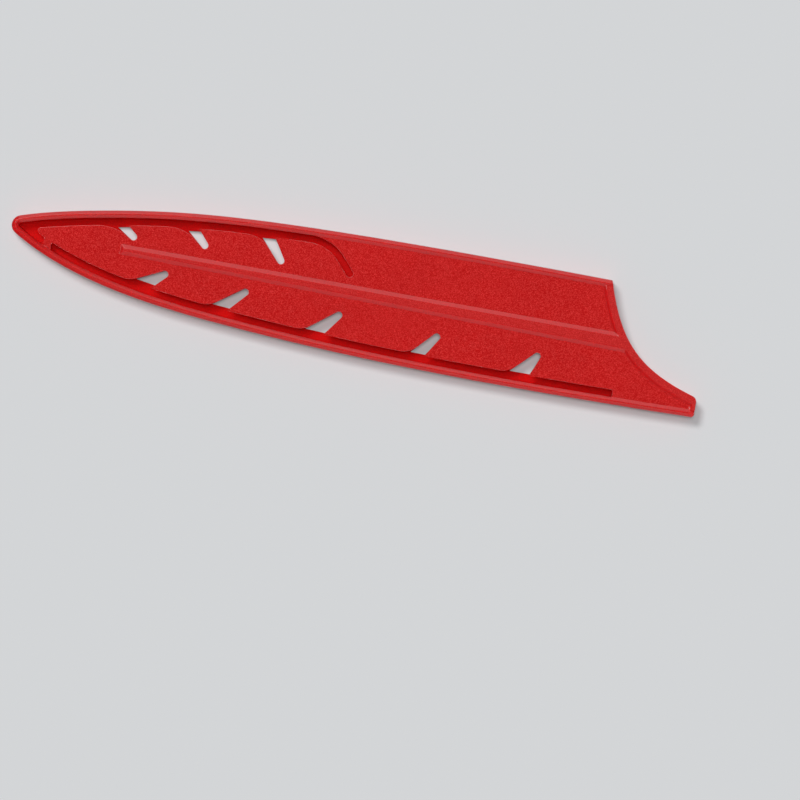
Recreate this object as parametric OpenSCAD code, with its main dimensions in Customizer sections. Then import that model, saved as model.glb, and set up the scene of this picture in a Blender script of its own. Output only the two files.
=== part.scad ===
// Blade guard for a slicing knife: two moulded shells closed on each other at the rim.
// X runs from the nose to the mouth, Y to the spine side and Z out of the front face.
// The rear rims lie on Z = 0, under the middle of the outline.

/* [Outline] */
// Length from the nose to the heel end
guard_l = 217.7; // [205:0.1:240]
// Length of the spine side, from the nose to the mouth
spine_l = 185.4; // [175:0.1:195]
// Height of the spine side above the middle line
spine_h = 18.6; // [17:0.1:21]
// Depth of the cutting edge side below the middle line
edge_h = 19.8; // [18.9:0.1:22]
// Depth of the cutting edge side at the heel end
heel_h = 18.45; // [17.5:0.05:19]
// Length of the straight heel end
heel_w = 6.1; // [5:0.1:8]
// Radius of the corner between the mouth and the heel end
heel_r = 1.6; // [1:0.1:2.5]
// Bevel of the lower corner of the heel end
heel_bevel = 0.6; // [0.3:0.1:1]
// Radius of the nose
nose_r = 3.1; // [2.9:0.1:4]
// Height of the nose above the middle line
nose_h = 1.45; // [1:0.05:2]

/* [Shells] */
// Thickness over the front and the rear rims
guard_t = 8.2; // [7.8:0.1:10]
// Thickness of the front panel and the rear wall
wall = 1.3; // [1:0.05:1.6]
// Height of rims, ribs and mouth lips above the panels
rim_h = 0.6; // [0.4:0.05:0.8]
// Width of the rims, which stand on the side walls
rim_w = 2.3; // [2:0.05:2.8]
// Width of the sloping sides of the rims
rim_slope = 0.9; // [0.4:0.05:0.95]
// Distance by which the outer faces lean inwards from the seam to the rims
draft = 0.1; // [0.05:0.05:0.3]
// Bevel of the outer edges that meet at the seam
seam_bevel = 0.15; // [0.1:0.05:0.3]
// Width of the rear shell's tongue, which stands up in a groove of the front shell
tongue_w = 0.7; // [0.5:0.05:0.8]
// Height of the tongue above the seam
tongue_h = 0.6; // [0.4:0.1:0.9]
// Clearance round the tongue
tongue_gap = 0.1; // [0.05:0.01:0.15]
// Width of the raised lips along the mouth
lip_w = 3; // [2:0.1:4]
// Width of the raised lips at the heel end
heel_lip_w = 1.8; // [1.2:0.1:3]
// Width of the sloping inner sides of the lips
lip_slope = 0.8; // [0.3:0.05:1.1]

/* [Middle rib] */
// Distance from the nose to the start of the rib
rib_start = 34.4; // [28:0.1:40]
// Width of the rib's foot at its start
rib_w = 3.1; // [2.7:0.1:4]
// Width of the rib's foot at the mouth
rib_mouth_w = 5.6; // [4.5:0.1:7]
// Height by which the rib's middle rises towards the mouth
rib_rise = 0.3; // [0:0.05:1]
// Width of the sloping sides of the rib
rib_slope = 1.1; // [0.4:0.05:1.2]

/* [Slots and windows] */
// Width of the slots round the springy front panel
slot_w = 2.2; // [1.6:0.1:2.6]
// Distance from the nose to the tip of the front panel
panel_tip = 8.2; // [7.8:0.1:9]
// Length of the rounded tip of the front panel
tip_blend = 1.4; // [1:0.1:1.8]
// Distance from the nose to the bridge that holds the tip of the panel
bridge_x = 10.7; // [10.2:0.1:11.5]
// Width of the bridge
bridge_w = 2.5; // [2:0.1:3.5]
// Distance from the nose to the end of the cutting edge slot
slot_end = 191.7; // [185:0.1:198]
// Distance from the nose to the place where the spine slot turns inwards
turn_x = 91.4; // [88:0.1:96]
// Radius of that turn, at the middle of the slot
turn_r = 13.3; // [10:0.1:16]
// Angle of that turn
turn_a = 51; // [35:1:55]
// Length of the straight piece after the turn
turn_l = 5.2; // [2:0.1:6]
// Radius of the corners at the slot ends
slot_corner = 0.7; // [0.4:0.1:1]
// Radius of the windows' inner ends
window_r = 1.1; // [0.8:0.05:1.2]

/* [Hidden] */

// Windows: inner end from the nose and the middle line, lean of the two sides in degrees,
// radius by which the front panel sweeps into the first side, and web of the rear wall
// between the window and the line of the slots
spine_windows = [
    [37.7, 4.3, 32.5, 39, 16, 0.6],
    [59.8, 5.8, 40.5, 49, 13, 0.9],
    [83.7, 5.5, 48, 57.5, 10, 0.6]
];
edge_windows = [
    [49.3, -5.3, 26, 45, 8, 1.3],
    [74.7, -6.1, 36, 48, 7, 0.9],
    [104.4, -7.7, 38, 54, 7, 0.6],
    [135.3, -8.7, 47, 59, 7, 0.5],
    [166.9, -8.8, 45, 69, 7, 0.5]
];

// Colour of the moulded plastic
guard_red = "#c42327";

// Levels, counted up from the rear rim. The seam lies level with the panel's underside
floor_z = rim_h;
panel_z = guard_t - rim_h;
seam_z = panel_z - wall;
// How far ribs and lips are rooted in the wall under them
root = wall / 4;

// Distances inwards from the outline
tongue_from = 0.45 * rim_w - tongue_w / 2;
tongue_to = tongue_from + tongue_w;
wall_in = (tongue_to + tongue_gap + rim_w) / 2;
hidden_in = wall_in / 2;
leaf_in = rim_w + slot_w;

// Everything past the mouth is cut away, so the sides first run on this far
run_on = 12;
far_x = guard_l + run_on;
// Room that a cut takes past the faces it cuts
cut = 1;
// Least gap along a line between its own points and those of what joins it
point_gap = 0.3;

// A point that part t of the way along lies from a to b
function mix(a, b, t) = a + (b - a) * t;
// Point on the smooth curve that a list of guide points pulls into shape
function on_curve(guide, t) = len(guide) == 1
    ? guide[0]
    : on_curve([for (i = [1:len(guide) - 1]) mix(guide[i - 1], guide[i], t)], t);
function curve(guide, steps, last = 1) = [for (i = [0:steps]) on_curve(guide, last * i / steps)];
// The same, with closer points near its start
function eased_curve(guide, steps) = [for (i = [0:steps]) on_curve(guide, pow(i / steps, 1.25))];
function unit(v) = v / norm(v);
function left_of(v) = [-v[1], v[0]];
function heading(a) = [cos(a), sin(a)];
function backwards(list) = [for (i = [len(list) - 1:-1:0]) list[i]];
function rest(list) = [for (i = [1:len(list) - 1]) list[i]];
function start_of(list) = [for (i = [0:len(list) - 2]) list[i]];

// A path moved to its left by a distance, with mitred corners
function inset(path, d) = [
    for (i = [0:len(path) - 1])
        let (before = max(i, 1), after = min(i, len(path) - 2))
        let (a = left_of(unit(path[before] - path[before - 1])))
        let (b = left_of(unit(path[after + 1] - path[after])))
        path[i] + d * (a + b) / (1 + a * b)
];

// The sides start on the round nose, each with its own share of the nose arc
nose_mid = [nose_r, nose_h];
spine_turn = 71;
edge_turn = 59;
function on_nose(a) = nose_mid + nose_r * [-cos(a), sin(a)];
spine_from = on_nose(spine_turn);
edge_from = on_nose(-edge_turn);
spine_side = eased_curve([
    spine_from,
    spine_from + 0.136 * spine_l * [sin(spine_turn), cos(spine_turn)],
    [0.321 * spine_l, 0.735 * spine_h],
    [0.216 * spine_l, spine_h],
    [spine_l, spine_h]
], 36);
heel = [guard_l, -heel_h];
edge_pull = [0.265 * guard_l, -1.197 * edge_h];
edge_side = eased_curve([
    edge_from,
    edge_from + 0.203 * guard_l * [sin(edge_turn), -cos(edge_turn)],
    [0.449 * guard_l, -0.597 * edge_h],
    edge_pull,
    heel
], 44);
nose_steps = 6;
nose_arc = concat(
    [for (i = [1:nose_steps]) on_nose(mix(spine_turn, 0, i / nose_steps))],
    [for (i = [1:nose_steps - 1]) on_nose(mix(0, -edge_turn, i / nose_steps))]
);
// Round the guard, from past the mouth along the spine side to past the heel
outline = concat(
    [[far_x, spine_h]],
    backwards(spine_side),
    nose_arc,
    start_of(edge_side),
    [heel + run_on * unit(heel - edge_side[len(edge_side) - 2])]
);
lowest = min([for (p = outline) p[1]]);
// Brings the middle of the outline over the origin
to_middle = [-guard_l / 2, -(spine_h + lowest) / 2, 0];

// The mouth sweeps from the spine side down to the heel end
heel_top = [guard_l, heel_w - heel_h];
mouth_box = heel_top - [spine_l, spine_h];
mouth_guide = [
    [spine_l, spine_h],
    [spine_l + 0.19 * mouth_box[0], spine_h + 0.633 * mouth_box[1]],
    [spine_l + 0.441 * mouth_box[0], spine_h + 0.839 * mouth_box[1]],
    heel_top
];
mouth_steps = 24;
mouth_above = mouth_guide[0] - run_on / 2 * unit(mouth_guide[1] - mouth_guide[0]);
mouth_end = 1 - heel_r / (3 * norm(heel_top - mouth_guide[2]));
// Up the heel end, where the lip is narrower, and along the mouth, so that the shell lies to
// the left
heel_way = heel_top - mouth_guide[2];
lip_corner = heel_top + (lip_w - heel_lip_w) / heel_way[0] * heel_way;
lip_path = concat(
    [[lip_corner[0], heel[1] - run_on], lip_corner],
    [for (p = backwards(curve(mouth_guide, mouth_steps))) if (norm(p - heel_top) > lip_w) p],
    [mouth_above]
);

// Lines of the slots, which run along the panel
spine_leaf = inset(concat(backwards(spine_side), [on_nose(spine_turn - 10)]), leaf_in);
edge_leaf = inset(concat([on_nose(10 - edge_turn)], edge_side), leaf_in);
function spine_at(x) = [x, lookup(x, spine_leaf)];
function edge_at(x) = [x, lookup(x, edge_leaf)];
tip_x = panel_tip + tip_blend;
tip_pull = tip_blend / 0.75;
// The tip of the panel, from its cutting edge side to its spine side
panel_tip_curve = curve([
    edge_at(tip_x),
    edge_at(tip_x) - tip_pull * unit(edge_at(tip_x + 1) - edge_at(tip_x)),
    spine_at(tip_x) - tip_pull * unit(spine_at(tip_x + 1) - spine_at(tip_x)),
    spine_at(tip_x)
], 8);
// Corner of a slot end, from its panel side to the rim
function slot_corner_curve(x, inward) = curve([
    edge_at(x + inward * slot_corner),
    edge_at(x),
    edge_at(x) - [0, slot_corner]
], 4);

// The spine slot turns inwards and ends in a round end
turn_slope = spine_at(turn_x + 1) - spine_at(turn_x - 1);
turn_from = atan2(turn_slope[1], turn_slope[0]);
turn_to = turn_from - turn_a;
turn_mid = spine_at(turn_x) - (turn_r - slot_w / 2) * left_of(heading(turn_from));
turn_end = turn_mid + turn_r * left_of(heading(turn_to)) + turn_l * heading(turn_to);
turn_steps = 10;
function turn_line(r) = [
    for (i = [0:turn_steps]) turn_mid + r * left_of(heading(mix(turn_from, turn_to, i / turn_steps)))
];
turn_cap = [for (i = [0:8]) turn_end + slot_w / 2 * heading(turn_to - 90 + i * 22.5)];
outer_turn = backwards(rest(rest(turn_line(turn_r + slot_w / 2))));

// A line of the outline that is hidden in the rim, from one place to another
function hidden(x_spine, x_edge) = [
    for (p = inset(outline, hidden_in))
        if (p[0] < (p[1] > nose_h ? x_spine : x_edge)) p
];

// A window's two sides lean outwards from its round inner end, and side is 1 on the spine
// side and -1 on the cutting edge side
reach = 2 * leaf_in + 3 * slot_w;
window_steps = 9;
function way_out(side, lean) = [-cos(lean), side * sin(lean)];
function inner_end(w, side) = [
    for (i = [0:window_steps])
        let (a = mix(270 - w[2], 450 - w[3], i / window_steps))
        [w[0] + window_r * cos(a), w[1] + side * window_r * sin(a)]
];

// How far out along a window's side it comes within a distance of the line of the slot
function leaf_y(x, side) = side > 0 ? spine_at(x)[1] : edge_at(x)[1];
function way_to_slot(foot, way, side, web, low = 0, high = reach, tries = 20) =
    let (middle = (low + high) / 2)
    let (p = foot + middle * way)
    tries == 0 ? middle
    : side * (p[1] - leaf_y(p[0], side)) > -web ? way_to_slot(foot, way, side, web, low, middle, tries - 1)
    : way_to_slot(foot, way, side, web, middle, high, tries - 1);
function side_end(foot, way, side, web) = foot + way_to_slot(foot, way, side, web) * way;

// A window in the rear wall, closed by its web
function rear_window(w, side) =
    let (end = inner_end(w, side))
    concat(
        [side_end(end[0], way_out(side, w[2]), side, w[5])],
        end,
        [side_end(end[window_steps], way_out(side, w[3]), side, w[5])]
    );

// A window in the front panel, open to the slot, with the panel's sweep into its first side
function front_window(w, side) =
    let (end = inner_end(w, side))
    let (first = way_out(side, w[2]))
    let (corner = side_end(end[0], first, side, 0))
    let (slope = side * (corner[1] - leaf_y(corner[0] - 1, side)))
    let (length = min(w[4] * tan((w[2] + atan(slope)) / 2), 0.9 * norm(corner - end[0])))
    let (start_x = corner[0] - length * cos(atan(slope)))
    concat(
        curve([[start_x, leaf_y(start_x, side)], corner, corner - length * first], 8),
        end,
        [side_end(end[window_steps], way_out(side, w[3]), side, 0)]
    );

// The panel's side along a slot, from one place to another, with its windows
function panel_side(leaf, windows, side, from, to) =
    let (open = [for (w = windows) front_window(w, side)])
    let (last = len(open))
    [
        for (i = [0:last])
            let (low = i == 0 ? from : open[i - 1][len(open[i - 1]) - 1][0])
            let (high = i == last ? to : open[i][0][0])
            each concat(
                [for (p = leaf) if (p[0] > low + point_gap && p[0] < high - point_gap) p],
                i == last ? [] : open[i]
            )
    ];

// Outline of the slot that runs round the nose and along the spine side
spine_slot = concat(
    backwards(slot_corner_curve(bridge_x, -1)),
    [
        for (p = backwards(edge_leaf))
            if (p[0] > tip_x + point_gap && p[0] < bridge_x - slot_corner - point_gap) p
    ],
    panel_tip_curve,
    panel_side(backwards(spine_leaf), spine_windows, 1, tip_x, turn_x),
    turn_line(turn_r - slot_w / 2),
    turn_cap,
    outer_turn,
    hidden(turn_x, bridge_x),
    [[bridge_x, lookup(bridge_x, edge_side) + hidden_in]]
);

// Outline of the slot along the cutting edge side
edge_slot_from = bridge_x + bridge_w;
edge_slot = concat(
    backwards(slot_corner_curve(edge_slot_from, 1)),
    panel_side(edge_leaf, edge_windows, -1, edge_slot_from + slot_corner, slot_end - slot_corner),
    slot_corner_curve(slot_end, -1),
    [for (x = [slot_end, edge_slot_from]) [x, -edge_h]]
);

// Everything inside a line that runs round the guard at a distance from its outline
module within(d) {
    offset(delta = -d) polygon(outline);
}

// A profile of distances inwards and heights, carried along a path. The profile goes round
// clockwise, with the distances to the right and the heights up
module carry(path, profile) {
    n = len(profile);
    steps = len(path);
    rings = [for (p = profile) inset(path, p[0])];
    points = [for (i = [0:steps - 1]) for (k = [0:n - 1]) [rings[k][i][0], rings[k][i][1], profile[k][1]]];
    sides = [
        for (i = [0:steps - 2])
            for (k = [0:n - 1])
                let (next = (k + 1) % n)
                [i * n + k, i * n + next, (i + 1) * n + next, (i + 1) * n + k]
    ];
    start = concat([0], [for (k = [n - 1:-1:1]) k]);
    end = [for (k = [0:n - 1]) (steps - 1) * n + k];
    polyhedron(points, concat([start], sides, [end]));
}

// A ridge on the front face, from a foot line to a narrower crown
module ridge(foot, crown) {
    n = len(foot);
    points = concat(
        [for (p = foot) [p[0], p[1], panel_z - root]],
        [for (p = crown) [p[0], p[1], guard_t]]
    );
    sides = [for (i = [0:n - 1]) [i, n + i, n + (i + 1) % n, (i + 1) % n]];
    polyhedron(points, concat([[for (i = [0:n - 1]) i]], sides, [[for (i = [n - 1:-1:0]) n + i]]));
}

// The rib down the middle, wider towards the mouth
function rib_edge(x, side) =
    let (t = (x - rib_start) / (spine_l - rib_start))
    [x, mix(-rib_rise, rib_rise, t) / 2 + side * mix(rib_w, rib_mouth_w, t) / 2];

module middle_rib() {
    on_wall = [
        rib_edge(rib_start, 1),
        rib_edge(rib_start, -1),
        rib_edge(far_x, -1),
        rib_edge(far_x, 1),
        rib_edge(rib_start, 1),
        rib_edge(rib_start, -1)
    ];
    foot = inset(on_wall, -rib_slope * root / rim_h);
    crown = inset(on_wall, rib_slope);
    ridge([for (i = [1:4]) foot[i]], [for (i = [1:4]) crown[i]]);
}

// The raised lip along the mouth and down the heel end, which ends in the rims
module mouth_lip() {
    intersection() {
        carry(lip_path, [
            [lip_w + lip_slope * root / rim_h, panel_z - root],
            [-cut, panel_z - root],
            [-cut, guard_t],
            [lip_w - lip_slope, guard_t]
        ]);
        translate([0, 0, seam_z]) linear_extrude(wall + rim_h + cut) within(wall_in);
    }
}

// Turns what lies on the front face over to the rear face
module on_rear() {
    translate([0, 0, guard_t]) mirror([0, 0, 1]) children();
}

// All that lies past the mouth and the heel end
module past_mouth() {
    down = [-heel_bevel, -heel_bevel];
    edge_line = curve(mouth_guide, mouth_steps, mouth_end);
    bend = curve([on_curve(mouth_guide, mouth_end), heel_top, heel_top - [0, heel_r]], 6);
    translate([0, 0, -cut]) linear_extrude(guard_t + 2 * cut) polygon(concat(
        [mouth_above],
        edge_line,
        rest(bend),
        [
            heel + [0, heel_bevel],
            heel + 5 * down,
            [far_x + run_on, heel[1] + 5 * down[1]],
            [far_x + run_on, mouth_above[1]]
        ]
    ));
}

// The rear shell: rear wall, side wall with its tongue, rear rim, rib and lip
module rear_shell() {
    tongue_z = seam_z + tongue_h;
    translate(to_middle) color(guard_red) difference() {
        union() {
            translate([0, 0, floor_z]) linear_extrude(wall) difference() {
                within(wall_in);
                for (w = spine_windows) polygon(rear_window(w, 1));
                for (w = edge_windows) polygon(rear_window(w, -1));
            }
            carry(outline, [
                [tongue_from, seam_z],
                [tongue_from, tongue_z],
                [tongue_to, tongue_z],
                [tongue_to, seam_z],
                [rim_w, seam_z],
                [rim_w, floor_z],
                [rim_w - rim_slope, 0],
                [draft + rim_slope, 0],
                [draft, floor_z],
                [0, seam_z - seam_bevel],
                [seam_bevel, seam_z]
            ]);
            on_rear() middle_rib();
            on_rear() mouth_lip();
        }
        past_mouth();
    }
}

// The front shell: springy panel cut free by the slots, side wall, front rim, rib and lip
module front_shell() {
    groove_from = tongue_from - tongue_gap;
    groove_to = tongue_to + tongue_gap;
    groove_z = seam_z + tongue_h + tongue_gap;
    translate(to_middle) color(guard_red) difference() {
        union() {
            translate([0, 0, seam_z]) linear_extrude(wall) difference() {
                within(wall_in);
                polygon(spine_slot);
                polygon(edge_slot);
            }
            carry(outline, [
                [groove_from, groove_z],
                [groove_from, seam_z],
                [seam_bevel, seam_z],
                [0, seam_z + seam_bevel],
                [draft, panel_z],
                [draft + rim_slope, guard_t],
                [rim_w - rim_slope, guard_t],
                [rim_w, panel_z],
                [rim_w, seam_z],
                [groove_to, seam_z],
                [groove_to, groove_z]
            ]);
            middle_rib();
            mouth_lip();
        }
        past_mouth();
    }
}

rear_shell();
front_shell();
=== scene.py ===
import bmesh
import bpy
import math
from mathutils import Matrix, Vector


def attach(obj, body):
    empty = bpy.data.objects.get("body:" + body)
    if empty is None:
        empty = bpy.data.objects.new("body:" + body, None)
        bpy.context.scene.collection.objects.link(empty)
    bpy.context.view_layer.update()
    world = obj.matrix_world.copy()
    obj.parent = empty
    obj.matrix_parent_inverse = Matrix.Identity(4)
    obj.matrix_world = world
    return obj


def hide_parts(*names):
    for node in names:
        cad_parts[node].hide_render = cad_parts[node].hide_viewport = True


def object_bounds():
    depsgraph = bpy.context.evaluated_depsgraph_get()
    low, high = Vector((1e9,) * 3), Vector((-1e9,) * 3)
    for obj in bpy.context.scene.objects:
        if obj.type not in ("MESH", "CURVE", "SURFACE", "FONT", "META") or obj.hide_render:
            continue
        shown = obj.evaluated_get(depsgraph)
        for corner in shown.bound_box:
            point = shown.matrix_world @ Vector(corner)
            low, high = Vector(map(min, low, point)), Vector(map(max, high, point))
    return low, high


# Blade guard for a slicing knife, lying on its rear rims. X runs from the nose to the mouth,
# Y to the spine side and Z out of the front face. Everything is in metres.
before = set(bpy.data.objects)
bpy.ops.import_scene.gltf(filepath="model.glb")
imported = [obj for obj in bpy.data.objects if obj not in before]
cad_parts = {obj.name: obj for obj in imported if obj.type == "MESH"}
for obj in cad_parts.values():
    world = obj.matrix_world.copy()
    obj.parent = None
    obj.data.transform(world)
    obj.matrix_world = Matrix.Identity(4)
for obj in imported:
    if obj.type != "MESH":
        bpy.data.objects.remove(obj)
cad_box = [list(corner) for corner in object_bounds()]
scene = bpy.context.scene
MM = 0.001

# Levels of the two shells. The seam lies level with the underside of the front panel, and the
# rear shell's tongue stands up from it into a groove of the front shell
THICKNESS = cad_box[1][2]
MIDDLE = THICKNESS / 2
SEAM = min(corner.co.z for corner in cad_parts["front_shell"].data.vertices)
TONGUE_TOP = max(corner.co.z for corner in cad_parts["rear_shell"].data.vertices)

LEAN = 10.7  # degrees by which the guard leans in the picture


def linear(sheet_colour):
    """Linear colour of an sRGB hex value."""
    parts = [int(sheet_colour[i:i + 2], 16) / 255 for i in (1, 3, 5)]
    return [c / 12.92 if c <= 0.04045 else ((c + 0.055) / 1.055) ** 2.4 for c in parts] + [1.0]


def add(tree, kind, settings=None, inputs=None, links=None):
    """Adds a node, with its settings, its input values and what feeds its inputs."""
    node = tree.nodes.new(kind)
    for name, value in (settings or {}).items():
        setattr(node, name, value)
    for name, value in (inputs or {}).items():
        node.inputs[name].default_value = value
    for name, (source, output) in (links or {}).items():
        tree.links.new(source.outputs[output], node.inputs[name])
    return node


# Materials

# The real pits are about 0.1 mm wide. They are drawn wider, so that they show
PIT = 0.25 * MM
# The melt flows about this far before it sets its shade a little differently
FLOW = 12 * MM
# How deep the pits are, and how far down from a crown the plastic is rubbed
PIT_DEPTH, RUBBED = 0.05 * MM, 0.4 * MM


def moulded_polypropylene(name, deep, light, roughness, gloss, glow_share, glow_depth,
                          rubbed_roughness=None):
    """Polypropylene, injection moulded: a full colour with a low sheen. Its grain runs from the
    deep colour in the hollows to the light one on the tops, which is a painted sheen on the grain
    over its own random tone. Part of the light enters it and glows out again, and the red of that
    travels as far as the glow is deep."""
    material = bpy.data.materials.new(name)
    material.use_nodes = True
    tree = material.node_tree
    tree.nodes.clear()
    place = add(tree, "ShaderNodeTexCoord")
    grain = add(tree, "ShaderNodeTexNoise",
                inputs={"Scale": 1 / PIT, "Detail": 2.0, "Roughness": 0.6},
                links={"Vector": (place, "Object")})
    flow = add(tree, "ShaderNodeTexNoise",
               inputs={"Scale": 1 / FLOW, "Detail": 2.0, "Roughness": 0.5},
               links={"Vector": (place, "Object")})
    # Colour: the grain's tops are painted paler and pinker than its hollows, a painted sheen on the
    # grain
    painted_sheen_tops = add(tree, "ShaderNodeMapRange",
               inputs={"From Min": 0.43, "From Max": 0.70, "To Min": 0.0, "To Max": 1.0},
               links={"Value": (grain, "Fac")})
    grain_with_painted_sheen = add(tree, "ShaderNodeMixRGB",
                   inputs={"Color1": linear(deep), "Color2": linear(light)},
                   links={"Fac": (painted_sheen_tops, "Result")})
    drift = add(tree, "ShaderNodeMapRange",
                inputs={"From Min": 0.3, "From Max": 0.7, "To Min": 0.975, "To Max": 1.02},
                links={"Value": (flow, "Fac")})
    red = add(tree, "ShaderNodeHueSaturation",
              links={"Color": (grain_with_painted_sheen, "Color"), "Value": (drift, "Result")})
    pits = add(tree, "ShaderNodeBump", inputs={"Strength": 0.5, "Distance": PIT_DEPTH},
               links={"Height": (grain, "Fac")})
    plastic = add(tree, "ShaderNodeBsdfPrincipled",
                  inputs={"IOR": 1.49, "Roughness": roughness, "Specular IOR Level": gloss,
                          "Subsurface Weight": glow_share,
                          "Subsurface Radius": (1.0, 0.03, 0.03),
                          "Subsurface Scale": glow_depth},
                  links={"Base Color": (red, "Color"), "Normal": (pits, "Normal")})
    # The crowns of rims and ribs are what the guard rubs on, so they are smoother
    if rubbed_roughness is not None:
        spot = add(tree, "ShaderNodeSeparateXYZ", links={"Vector": (place, "Object")})
        rise = add(tree, "ShaderNodeMath", {"operation": "SUBTRACT"}, {1: MIDDLE},
                   {0: (spot, "Z")})
        height = add(tree, "ShaderNodeMath", {"operation": "ABSOLUTE"},
                     links={0: (rise, "Value")})
        rub = add(tree, "ShaderNodeMapRange",
                  inputs={"From Min": MIDDLE - RUBBED, "From Max": MIDDLE,
                          "To Min": roughness, "To Max": rubbed_roughness},
                  links={"Value": (height, "Value")})
        tree.links.new(rub.outputs["Result"], plastic.inputs["Roughness"])
    add(tree, "ShaderNodeOutputMaterial", links={"Surface": (plastic, "BSDF")})
    return material


def painted_board(name, colour, glow):
    """A board with matte paint: an even pale grey with no sheen. A share of what the camera sees,
    the glow, is as pale as the board in full light, so that shadows on it stay light."""
    material = bpy.data.materials.new(name)
    material.use_nodes = True
    tree = material.node_tree
    tree.nodes.clear()
    paint = add(tree, "ShaderNodeBsdfDiffuse", inputs={"Color": linear(colour)})
    even = add(tree, "ShaderNodeEmission", inputs={"Color": linear(colour), "Strength": 0.9})
    rays = add(tree, "ShaderNodeLightPath")
    share = add(tree, "ShaderNodeMath", {"operation": "MULTIPLY"}, {1: glow},
                {0: (rays, "Is Camera Ray")})
    board = add(tree, "ShaderNodeMixShader",
                links={"Fac": (share, "Value"), 1: (paint, "BSDF"), 2: (even, "Emission")})
    add(tree, "ShaderNodeOutputMaterial", links={"Surface": (board, "Shader")})
    return material


# Flat faces come from a spark eroded mould. Its fine pits leave an even, dry grain that breaks
# up the sheen, so the plastic looks matte
grained = moulded_polypropylene("moulded_polypropylene_spark_eroded", "#b50000", "#dd3836",
                                roughness=0.75, gloss=0.13, glow_share=0.4,
                                glow_depth=2 * MM, rubbed_roughness=0.6)
# Slopes and rounds come from a polished part of it. The grain is faint there, and the plastic
# catches a soft satin light. Their red is painted a little paler than that of the flat faces:
# painted light, because the slopes catch more light
polished_painted_paler = moulded_polypropylene("moulded_polypropylene_polished_painted_paler", "#c00002", "#e01014",
                                 roughness=0.3, gloss=0.85, glow_share=0.9,
                                 glow_depth=2 * MM)
# The inside is painted a brighter, fuller, deeper red: painted light that stands in for light
# coming through the thin walls, beside the real glow below the surface
painted_light_inside = moulded_polypropylene("moulded_polypropylene_painted_lit_through", "#da0000", "#f40507",
                               roughness=0.8, gloss=0.15, glow_share=1.0,
                               glow_depth=4 * MM)
finishes = [grained, polished_painted_paler, painted_light_inside]


# Moulded shells

# What a mould leaves on an edge, the narrowest face that has room for it on both sides, and
# how far it stays from a sharp point
ROUND = 0.13 * MM
NARROW = 2.2 * ROUND
CLEAR = 3 * ROUND
# Points and slivers of the CAD model's triangles that are closer than these are joined
SAME_POINT, SLIVER = 0.002 * MM, 0.05 * MM
# Angles at an edge: up to the first its two faces are one, up to the second they belong to a
# curve, past the third it is shaded as a crease, and past the fourth it folds to sharp points
IN_PLANE, CURVED, CREASE, FOLD = (math.radians(degrees) for degrees in (0.6, 25, 50, 100))
# Edges between these levels belong to the weld and its seam
WELD = (SEAM - 0.2 * MM, TONGUE_TOP + 0.2 * MM)
# A face is flat if its normal, of length 1, rises or falls by at least this
FLAT = 0.985
# Faces that lie this close to a level count as being on it
MARGIN = 0.05 * MM
# The blade space runs along this line, from near the nose to the mouth
SPACE_NOSE, SPACE_MOUTH, SPACE_Y = -100 * MM, 108 * MM, 1.4 * MM


def has_room(edge, points):
    """Whether an edge can be rounded. One at a narrow face or close to a sharp point has no
    room for it, and one between the weld's levels stays as it is."""
    low, high = WELD
    return (edge.calc_face_angle() > CURVED
            and not all(low < end.co.z < high for end in edge.verts)
            and min(face.calc_area() for face in edge.link_faces) > NARROW * edge.calc_length()
            and all((end.co - point).length > CLEAR for end in edge.verts for point in points))


def moulded_shell(node, name, inside_levels):
    """A shell of the guard with the small rounds that a mould leaves on its edges. Faces that look
    into the blade space, between the inside levels, get the inside's red, painted brighter as
    painted light for light that comes through the walls. Of the others, the flat ones are grained
    and the sloping and rounded ones polished, with a red painted paler as painted light."""
    shell = bmesh.new()
    shell.from_mesh(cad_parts[node].data)
    # The loose triangles are joined, and those in one plane become one face. No point on an
    # outline is dropped
    bmesh.ops.remove_doubles(shell, verts=shell.verts, dist=SAME_POINT)
    bmesh.ops.dissolve_degenerate(shell, edges=shell.edges, dist=SLIVER)
    bmesh.ops.dissolve_limit(shell, angle_limit=IN_PLANE, verts=[], edges=shell.edges)
    # Sharp points are the ends of edges that fold by more than a right angle, as the corners
    # of the windows do. The rounds keep clear of them, so none has to be clamped
    points = [end.co.copy() for edge in shell.edges if edge.calc_face_angle() > FOLD
              for end in edge.verts]
    edges = [edge for edge in shell.edges if has_room(edge, points)]
    bmesh.ops.bevel(shell, geom=edges, affect="EDGES", offset=ROUND, offset_type="OFFSET",
                    segments=3, profile=0.5, clamp_overlap=False, material=-1)
    low, high = inside_levels
    for face in shell.faces:
        face.smooth = True
        middle = face.calc_center_median()
        nearest = Vector((max(SPACE_NOSE, min(middle.x, SPACE_MOUTH)), SPACE_Y, MIDDLE))
        if low < middle.z < high and face.normal.dot(middle - nearest) < 0:
            # Faces in the blade space get the inside's red with its painted light
            face.material_index = finishes.index(painted_light_inside)
        elif abs(face.normal.z) < FLAT:
            # Sloping and rounded faces get the paler painted red
            face.material_index = finishes.index(polished_painted_paler)
    mesh = bpy.data.meshes.new(name)
    shell.to_mesh(mesh)
    shell.free()
    for finish in finishes:
        mesh.materials.append(finish)
    piece = bpy.data.objects.new(name, mesh)
    scene.collection.objects.link(piece)
    mesh.set_sharp_from_angle(angle=CREASE)
    even = piece.modifiers.new("even_faces", "WEIGHTED_NORMAL")
    even.keep_sharp = True
    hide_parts(node)
    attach(piece, "root")
    return piece


# The tray's inside reaches from its floor to the seam, and the lid's is its underside
tray_levels = (THICKNESS - SEAM - MARGIN, SEAM - MARGIN)
lid_levels = (SEAM - MARGIN, SEAM + MARGIN)
guard = bpy.data.collections.new("guard")
guard.objects.link(moulded_shell("rear_shell", "rear_shell_moulded", tray_levels))
guard.objects.link(moulded_shell("front_shell", "front_shell_moulded", lid_levels))


# Floor

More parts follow.
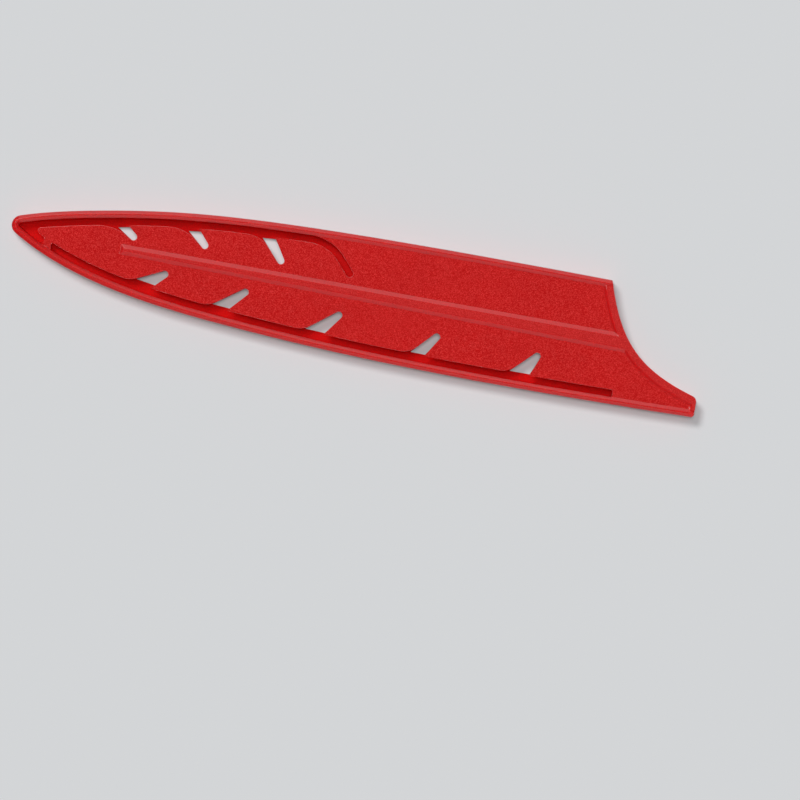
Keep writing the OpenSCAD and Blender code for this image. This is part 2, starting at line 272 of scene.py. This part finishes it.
ground = bmesh.new()
bmesh.ops.create_grid(ground, x_segments=1, y_segments=1, size=6.0)
floor_mesh = bpy.data.meshes.new("floor")
ground.to_mesh(floor_mesh)
ground.free()
floor = bpy.data.objects.new("floor", floor_mesh)
scene.collection.objects.link(floor)
floor_mesh.materials.append(painted_board("matte_paint_pale_grey", "#e2e4e6", glow=0.1))


# Light

def softbox(name, strength, width, tilt, turn):
    """A large soft light, given as a sun so that it lights the floor evenly. In degrees, width
    is how wide it looks, tilt how far it leans from straight overhead, and turn where it stands,
    counted from the spine side towards the nose."""
    lamp = bpy.data.lights.new(name, "SUN")
    lamp.energy = strength
    lamp.angle = math.radians(width)
    light = bpy.data.objects.new(name, lamp)
    scene.collection.objects.link(light)
    a, b = math.radians(turn), math.radians(tilt)
    towards = Vector((-math.sin(a) * math.sin(b), math.cos(a) * math.sin(b), math.cos(b)))
    light.rotation_euler = towards.to_track_quat("Z", "Y").to_euler()
    light.location = towards
    return light


softbox("softbox_overhead", strength=1.16, width=12, tilt=3, turn=LEAN)
softbox("softbox_over_nose_and_spine", strength=1.38, width=16, tilt=26, turn=46)
spine_light = softbox("softbox_low_over_spine_side", strength=0.37, width=40, tilt=62, turn=LEAN)
edge_light = softbox("softbox_low_over_edge_side", strength=0.22, width=40, tilt=62,
                     turn=LEAN + 180)
edge_card = softbox("card_low_over_edge_side", strength=0.38, width=60, tilt=62,
                    turn=LEAN + 180)
# Boards keep the low lights off the floor, where they would throw long shadows
for light in (spine_light, edge_light, edge_card):
    light.light_linking.receiver_collection = guard
# The card is dull: it lights the slopes that face it, but gives them no sheen
edge_card.visible_glossy = False

# The room adds a faint light from all round. Past the floor the camera sees a pale grey wall.
# Nothing here is metal or glass that would mirror it
world = bpy.data.worlds.new("studio")
scene.world = world
world.use_nodes = True
sky = world.node_tree
sky.nodes.clear()
rays = add(sky, "ShaderNodeLightPath")
room = add(sky, "ShaderNodeBackground", inputs={"Color": (1, 1, 1, 1), "Strength": 0.09})
wall = add(sky, "ShaderNodeBackground", inputs={"Color": linear("#d5d5d7"), "Strength": 1.0})
seen = add(sky, "ShaderNodeMixShader",
           links={"Fac": (rays, "Is Camera Ray"), 1: (room, "Background"), 2: (wall, "Background")})
add(sky, "ShaderNodeOutputWorld", links={"Surface": (seen, "Shader")})


# Camera

# A long lens straight over the guard, turned so that the guard leans as on a sales picture
LENS, SENSOR = 400.0, 36.0
PICTURE = 246.7 * MM  # the width that is seen, at the level of the front face
AIM_X, AIM_Y = 18.97 * MM, -29.30 * MM  # the place in the middle of the picture
shot = bpy.data.cameras.new("camera")
shot.lens = LENS
shot.sensor_width = SENSOR
camera = bpy.data.objects.new("camera", shot)
scene.collection.objects.link(camera)
camera.location = (AIM_X, AIM_Y, THICKNESS + PICTURE * LENS / SENSOR)
camera.rotation_euler = (0, 0, math.radians(LEAN))
shot.clip_start, shot.clip_end = 0.01, 50.0
scene.camera = camera
scene.view_settings.view_transform = "Standard"

bpy.context.view_layer.update()
